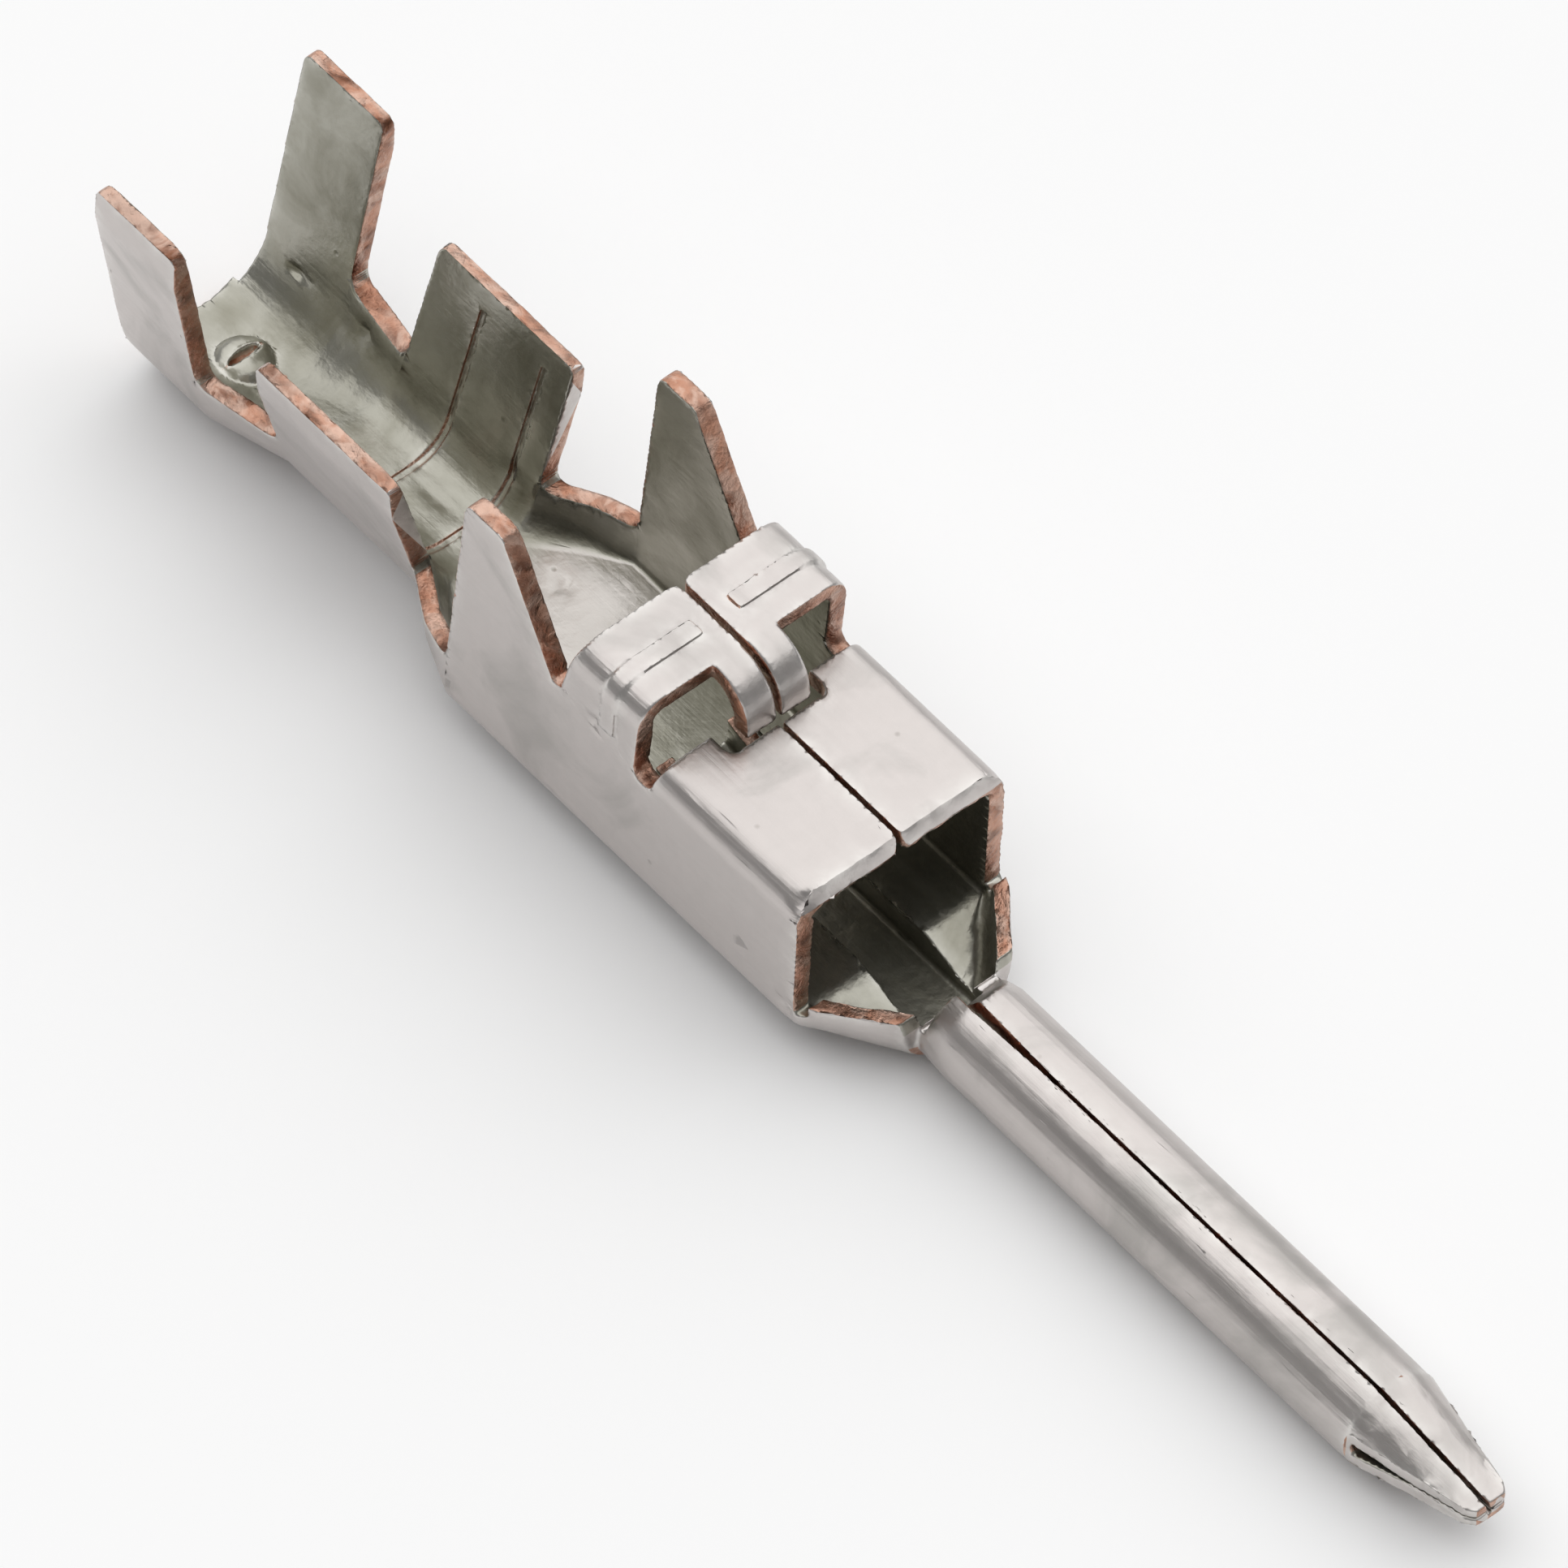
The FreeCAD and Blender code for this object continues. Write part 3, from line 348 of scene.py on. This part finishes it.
def pressMark(bm, mark):
    centre = Vector(mark["at"])
    up = Vector(mark["up"]).normalized()
    across = up.cross(Vector((1.0, 0.0, 0.0))).normalized()
    along = across.cross(up)
    for vert in bm.verts:
        away = vert.co / mm - centre
        if vert.normal.dot(up) < 0.5 or abs(away.dot(up)) > 0.15:
            continue
        reach = math.hypot(away.dot(along) / mark["reach"][0], away.dot(across) / mark["reach"][1])
        if reach < 1.0:
            vert.co -= up * mark["depth"] * (1.0 - reach * reach) ** 2 * mm


def thinMesh(piece, dense):
    # fewer faces on the flats, and a crisp line where the folded top is coined
    thinner = piece.modifiers.new("thinner", "DECIMATE")
    thinner.ratio = strip["faces"] / len(dense.polygons)
    evaluated = piece.evaluated_get(bpy.context.evaluated_depsgraph_get())
    mesh = bpy.data.meshes.new_from_object(evaluated)
    mesh.name = "foldedStrip"
    piece.modifiers.remove(thinner)
    bm = bmesh.new()
    bm.from_mesh(mesh)
    for face in bm.faces:
        face.smooth = True
    for edge in sharpEdges(bm, strip["sharpAngle"]):
        edge.smooth = not onCoinedFront(edge)
    bm.to_mesh(mesh)
    print("faces after thinning", len(bm.faces))
    bm.free()
    return mesh


def setAttribute(mesh, name, values):
    mesh.attributes.new(name, "FLOAT", "POINT").data.foreach_set("value", values)


def makeStrip():
    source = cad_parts["pin_contact"]
    bm = bmesh.new()
    bm.from_mesh(source.data)
    for reach in (strip["weld"], strip["crumbs"]):
        bmesh.ops.remove_doubles(bm, verts=bm.verts[:], dist=reach * mm)
    bmesh.ops.dissolve_degenerate(bm, dist=strip["hairline"] * mm, edges=bm.edges[:])
    bm.normal_update()
    sortSkins(bm)
    bmesh.ops.dissolve_limit(
        bm,
        angle_limit=math.radians(strip["flatAngle"]),
        verts=bm.verts[:],
        edges=bm.edges[:],
        delimit={"MATERIAL"},
    )
    rims = sharpEdges(bm, strip["sharpAngle"])
    rimTree = pointTree(alongEdges(rims, strip["rimStep"] * mm))
    print("faces before rounding", len(bm.faces), "sharp edges", len(rims))
    bmesh.ops.triangulate(bm, faces=bm.faces[:])
    splitLong(bm, strip["longestEdge"] * mm)
    splitBesideRims(bm, rimTree)
    closeSeam(bm)
    roundRims(bm)
    wander(bm, rimTree)
    for mark in marks:
        pressMark(bm, mark)
    print("faces after rounding", len(bm.faces))
    dense = bpy.data.meshes.new("denseStrip")
    bm.to_mesh(dense)
    bm.free()
    piece = bpy.data.objects.new("foldedStrip", dense)
    bpy.context.scene.collection.objects.link(piece)
    piece.data = thinMesh(piece, dense)
    bpy.data.meshes.remove(dense)
    # closeness to a sharp edge: the mask of the edge wear and painted highlight
    wearAndHighlight = [
        math.exp(-rimTree.find(vert.co)[2] / mm / strip["wearAndHighlightReach"])
        for vert in piece.data.vertices
    ]
    setAttribute(piece.data, "nearRim", wearAndHighlight)
    setAttribute(piece.data, "litFloor", [litFloorMask(vert) for vert in piece.data.vertices])
    settled = piece.modifiers.new("settledNormals", "WEIGHTED_NORMAL")
    settled.keep_sharp = True
    return piece


stripPiece = makeStrip()
print("strip rounded")


def makeGroup(name, inputs, output, kind="NodeSocketFloat"):
    tree = bpy.data.node_groups.new(name, "ShaderNodeTree")
    for label, value in inputs.items():
        socket = tree.interface.new_socket(name=label, in_out="INPUT", socket_type="NodeSocketFloat")
        socket.default_value = value
    tree.interface.new_socket(name=output, in_out="OUTPUT", socket_type=kind)
    return tree, tree.nodes.new("NodeGroupInput"), tree.nodes.new("NodeGroupOutput")


def add(tree, kind, values=None, **settings):
    made = tree.nodes.new(kind)
    for key, value in settings.items():
        setattr(made, key, value)
    for key, value in (values or {}).items():
        if isinstance(value, bpy.types.NodeSocket):
            tree.links.new(value, made.inputs[key])
        else:
            made.inputs[key].default_value = value
    return made


def stretched(tree, along, across, turn=0.0):
    # object coordinates in millimetres, drawn out along the contact
    coordinates = add(tree, "ShaderNodeTexCoord")
    scale = add(tree, "ShaderNodeCombineXYZ", {"X": along, "Y": across, "Z": across})
    inMillimetres = add(
        tree,
        "ShaderNodeVectorMath",
        {0: scale.outputs[0], "Scale": 1.0 / mm},
        operation="SCALE",
    )
    return add(
        tree,
        "ShaderNodeMapping",
        {
            "Vector": coordinates.outputs["Object"],
            "Rotation": (0.0, turn, turn),
            "Scale": inMillimetres.outputs[0],
        },
    )


def streakGroup(name, turn=0.0):
    tree, given, result = makeGroup(name, {"Along": 0.5, "Across": 9.0, "Detail": 4.0}, "Streak")
    mapping = stretched(tree, given.outputs["Along"], given.outputs["Across"], turn)
    texture = add(
        tree,
        "ShaderNodeTexNoise",
        {
            "Vector": mapping.outputs[0],
            "Scale": 1.0,
            "Detail": given.outputs["Detail"],
            "Roughness": 0.6,
        },
    )
    tree.links.new(texture.outputs["Fac"], result.inputs[0])
    return tree


def patchGroup():
    # soft patches; Low and High are where a patch starts and is full
    tree, given, result = makeGroup(
        "patches", {"Size": 1.0, "Low": 0.45, "High": 0.65, "Twist": 0.6}, "Patch"
    )
    each = add(tree, "ShaderNodeMath", {0: 1.0, 1: given.outputs["Size"]}, operation="DIVIDE")
    mapping = stretched(tree, each.outputs[0], each.outputs[0])
    texture = add(
        tree,
        "ShaderNodeTexNoise",
        {
            "Vector": mapping.outputs[0],
            "Scale": 1.0,
            "Detail": 5.0,
            "Roughness": 0.55,
            "Distortion": given.outputs["Twist"],
        },
    )
    limits = add(
        tree,
        "ShaderNodeMapRange",
        {
            "Value": texture.outputs["Fac"],
            "From Min": given.outputs["Low"],
            "From Max": given.outputs["High"],
        },
    )
    tree.links.new(limits.outputs[0], result.inputs[0])
    return tree


def speckGroup():
    # small round pits and grains of dirt in a few of the cells
    tree, given, result = makeGroup("specks", {"Cell": 0.3, "Reach": 0.16, "Share": 0.2}, "Speck")
    each = add(tree, "ShaderNodeMath", {0: 1.0, 1: given.outputs["Cell"]}, operation="DIVIDE")
    mapping = stretched(tree, each.outputs[0], each.outputs[0])
    cells = add(tree, "ShaderNodeTexVoronoi", {"Vector": mapping.outputs[0], "Scale": 1.0})
    near = add(
        tree,
        "ShaderNodeMapRange",
        {
            "Value": cells.outputs["Distance"],
            "From Min": given.outputs["Reach"],
            "From Max": 0.0,
        },
    )
    pick = add(tree, "ShaderNodeSeparateColor", {"Color": cells.outputs["Color"]})
    chosen = add(
        tree,
        "ShaderNodeMath",
        {0: pick.outputs[0], 1: given.outputs["Share"]},
        operation="LESS_THAN",
    )
    both = add(
        tree,
        "ShaderNodeMath",
        {0: near.outputs[0], 1: chosen.outputs[0]},
        operation="MULTIPLY",
        use_clamp=True,
    )
    tree.links.new(both.outputs[0], result.inputs[0])
    return tree


def edgeWearAndHighlightGroup():
    # the band beside a sharp edge, broken up by patches: burnished wear, and partly a painted
    # highlight
    tree, given, result = makeGroup("edgeWearAndHighlight", {"Amount": 1.0, "Size": 0.25}, "WearAndHighlight")
    rim = add(tree, "ShaderNodeAttribute", attribute_name="nearRim")
    patch = add(
        tree,
        "ShaderNodeGroup",
        {"Size": given.outputs["Size"], "Low": 0.35, "High": 0.62},
        node_tree=shared["patches"],
    )
    broken = add(
        tree, "ShaderNodeMath", {0: rim.outputs["Fac"], 1: patch.outputs[0]}, operation="MULTIPLY"
    )
    amount = add(
        tree,
        "ShaderNodeMath",
        {0: broken.outputs[0], 1: given.outputs["Amount"]},
        operation="MULTIPLY",
        use_clamp=True,
    )
    tree.links.new(amount.outputs[0], result.inputs[0])
    return tree


shared = {"streaks": streakGroup("streaks"), "scratches": streakGroup("scratches", 0.5)}
shared["patches"] = patchGroup()
shared["specks"] = speckGroup()
shared["edgeWearAndHighlight"] = edgeWearAndHighlightGroup()


def use(tree, name, values):
    return add(tree, "ShaderNodeGroup", values, node_tree=shared[name]).outputs[0]


def blendColour(tree, mask, first, second):
    mixed = add(tree, "ShaderNodeMix", data_type="RGBA", clamp_factor=True)
    tree.links.new(mask, mixed.inputs["Factor"])
    for socket, colour in ((mixed.inputs[6], first), (mixed.inputs[7], second)):
        if isinstance(colour, bpy.types.NodeSocket):
            tree.links.new(colour, socket)
        else:
            socket.default_value = (*colour, 1.0)
    return mixed.outputs[2]


def times(tree, value, factor, offset=0.0):
    return add(
        tree, "ShaderNodeMath", {0: value, 1: factor, 2: offset}, operation="MULTIPLY_ADD"
    ).outputs[0]


def plus(tree, first, second):
    return add(tree, "ShaderNodeMath", {0: first, 1: second}, operation="ADD").outputs[0]


# Tin plate, outside and in: colours, roughness and how much each mark shows or stands up
tin = {
    "outside": {
        "plain": (0.580, 0.540, 0.520),
        "dull": (0.470, 0.445, 0.425),
        "bright": (0.72, 0.70, 0.67),
        "stain": (0.30, 0.275, 0.25),
        "rough": 0.36,
        "grain": 0.16,
        "dents": 0.35,
        "smudge": (1.6, 0.50, 0.66),
    },
    "inside": {
        # the inside colours are darker than the outside: partly duller tin, partly painted shade and
        # painted dark reflection in the hollow
        "plain": (0.385, 0.375, 0.325),
        "dull": (0.275, 0.265, 0.215),
        "bright": (0.62, 0.61, 0.56),
        "stain": (0.20, 0.19, 0.15),
        "rough": 0.32,
        "grain": 0.12,
        "dents": 0.9,
        "smudge": (1.1, 0.44, 0.68),
        "litFloor": (0.55, 0.52, 0.49),
    },
}


tinMarks = {
    "mottle": 0.16,
    "specks": 0.7,
    "smudgeRough": 0.07,
    "wearRough": -0.10,
    "dents": 4.0,
    "streaks": 0.9,
    "scratches": 0.25,
    "pits": -1.5,
    "bump": 0.004,
}


def surface(name):
    # a metal with its tree and shader
    made = bpy.data.materials.new(name)
    made.use_nodes = True
    shader = made.node_tree.nodes["Principled BSDF"]
    shader.inputs["Metallic"].default_value = 1.0
    return made, made.node_tree, shader


def relief(tree, shader, height, depth):
    bump = add(
        tree, "ShaderNodeBump", {"Height": height, "Strength": 1.0, "Distance": depth * mm}
    )
    tree.links.new(bump.outputs[0], shader.inputs["Normal"])


def tinMaterial(name, look):
    made, tree, shader = surface(name)
    streak = use(tree, "streaks", {"Along": 0.35, "Across": 11.0, "Detail": 5.0})
    scratch = use(tree, "scratches", {"Along": 0.7, "Across": 26.0, "Detail": 2.0})
    size, low, high = look["smudge"]
    smudge = use(tree, "patches", {"Size": size, "Low": low, "High": high, "Twist": 1.2})
    mottle = use(tree, "patches", {"Size": 0.16, "Low": 0.38, "High": 0.70, "Twist": 0.3})
    speck = use(tree, "specks", {"Cell": 0.34, "Reach": 0.10, "Share": 0.16})
    wearAndHighlight = use(tree, "edgeWearAndHighlight", {"Amount": 0.9, "Size": 0.3})
    colour = blendColour(tree, smudge, look["plain"], look["dull"])
    faint = times(tree, mottle, tinMarks["mottle"])
    colour = blendColour(tree, faint, colour, look["dull"])
    # painted light on the upward-facing floor behind the covers
    if "litFloor" in look:
        litFloor = add(tree, "ShaderNodeAttribute", attribute_name="litFloor").outputs["Fac"]
        colour = blendColour(tree, litFloor, colour, look["litFloor"])
    # paler band beside the edges: burnished wear, and partly a painted highlight
    colour = blendColour(tree, wearAndHighlight, colour, look["bright"])
    colour = blendColour(tree, times(tree, speck, tinMarks["specks"]), colour, look["stain"])
    tree.links.new(colour, shader.inputs["Base Color"])
    rough = times(tree, streak, look["grain"], look["rough"] - look["grain"] / 2)
    rough = plus(tree, rough, times(tree, smudge, tinMarks["smudgeRough"]))
    rough = plus(tree, rough, times(tree, wearAndHighlight, tinMarks["wearRough"]))
    tree.links.new(rough, shader.inputs["Roughness"])
    lump = use(tree, "patches", {"Size": 0.55, "Low": 0.2, "High": 0.8, "Twist": 0.2})
    height = times(tree, lump, look["dents"] * tinMarks["dents"])
    height = plus(tree, height, times(tree, streak, tinMarks["streaks"]))
    height = plus(tree, height, times(tree, scratch, tinMarks["scratches"]))
    height = plus(tree, height, times(tree, speck, tinMarks["pits"]))
    relief(tree, shader, height, tinMarks["bump"])
    return made


# Bare metal of the sheared edges, dragged and smeared by the die
copper = {
    "plain": (0.47, 0.235, 0.155),
    "dark": (0.16, 0.070, 0.042),
    "pale": (0.70, 0.52, 0.43),
    "rough": 0.30,
    "grain": 0.16,
    "smears": 0.5,
    "drags": 2.0,
    "fine": 0.8,
    "bump": 0.006,
}


def copperMaterial():
    made, tree, shader = surface("shearedCopper")
    drag = use(tree, "patches", {"Size": 0.28, "Low": 0.42, "High": 0.66, "Twist": 0.8})
    smear = use(tree, "patches", {"Size": 0.45, "Low": 0.50, "High": 0.60, "Twist": 1.5})
    wearAndHighlight = use(tree, "edgeWearAndHighlight", {"Amount": 0.8, "Size": 0.35})
    fine = use(tree, "patches", {"Size": 0.05, "Low": 0.3, "High": 0.7, "Twist": 0.2})
    colour = blendColour(tree, drag, copper["plain"], copper["dark"])
    colour = blendColour(tree, times(tree, smear, copper["smears"]), colour, copper["pale"])
    # pale band beside the edges: burnished wear, and partly a painted highlight
    colour = blendColour(tree, wearAndHighlight, colour, copper["pale"])
    tree.links.new(colour, shader.inputs["Base Color"])
    rough = times(tree, fine, copper["grain"], copper["rough"])
    tree.links.new(rough, shader.inputs["Roughness"])
    height = plus(tree, times(tree, drag, copper["drags"]), times(tree, fine, copper["fine"]))
    relief(tree, shader, height, copper["bump"])
    return made


stripPiece.data.materials.append(tinMaterial("tinOutside", tin["outside"]))
# the inside faces get the darker tin: painted shade on a partly duller tin
stripPiece.data.materials.append(tinMaterial("tinInsidePaintedShade", tin["inside"]))
stripPiece.data.materials.append(copperMaterial())
print("tin and copper mixed")
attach(stripPiece, "root")
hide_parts("pin_contact")

# Soft light from one large lamp overhead, on pale paper
studio = {
    "world": 0.25,
    "floorHeight": -0.5,
    "floorSize": 2.0,
    "floorRough": 0.9,
    "floor": 0.97,
    "keyPower": 9.6,
    "keySize": 1.85,
    "keyFrom": (-0.30, 0.26, 0.92),
    "keyDistance": 0.60,
}


def makeFloor():
    bm = bmesh.new()
    bmesh.ops.create_grid(bm, x_segments=1, y_segments=1, size=studio["floorSize"])
    bmesh.ops.translate(bm, verts=bm.verts, vec=(0, 0, studio["floorHeight"] * mm))
    mesh = bpy.data.meshes.new("floor")
    bm.to_mesh(mesh)
    bm.free()
    floor = bpy.data.objects.new("floor", mesh)
    bpy.context.scene.collection.objects.link(floor)
    plain = bpy.data.materials.new("floorPaper")
    plain.use_nodes = True
    shader = plain.node_tree.nodes["Principled BSDF"]
    level = studio["floor"]
    shader.inputs["Base Color"].default_value = (level, level, level, 1.0)
    shader.inputs["Roughness"].default_value = studio["floorRough"]
    shader.inputs["Specular IOR Level"].default_value = 0.0
    mesh.materials.append(plain)


def softbox(name, direction, distance, size, power):
    data = bpy.data.lights.new(name, "AREA")
    data.shape = "DISK"
    data.size = size
    data.energy = power
    lamp = bpy.data.objects.new(name, data)
    bpy.context.scene.collection.objects.link(lamp)
    away = Vector(direction).normalized()
    lamp.location = away * distance
    lamp.rotation_euler = away.to_track_quat("Z", "Y").to_euler()


def makeStudio():
    makeFloor()
    softbox(
        "keyLight", studio["keyFrom"], studio["keyDistance"], studio["keySize"], studio["keyPower"]
    )
    world = bpy.data.worlds.new("studioWorld")
    bpy.context.scene.world = world
    world.use_nodes = True
    level = studio["world"]
    background = world.node_tree.nodes["Background"]
    background.inputs["Color"].default_value = (level, level, level, 1.0)
    background.inputs["Strength"].default_value = 1.0


makeStudio()
bpy.context.scene.view_settings.view_transform = "Standard"
print("studio set")
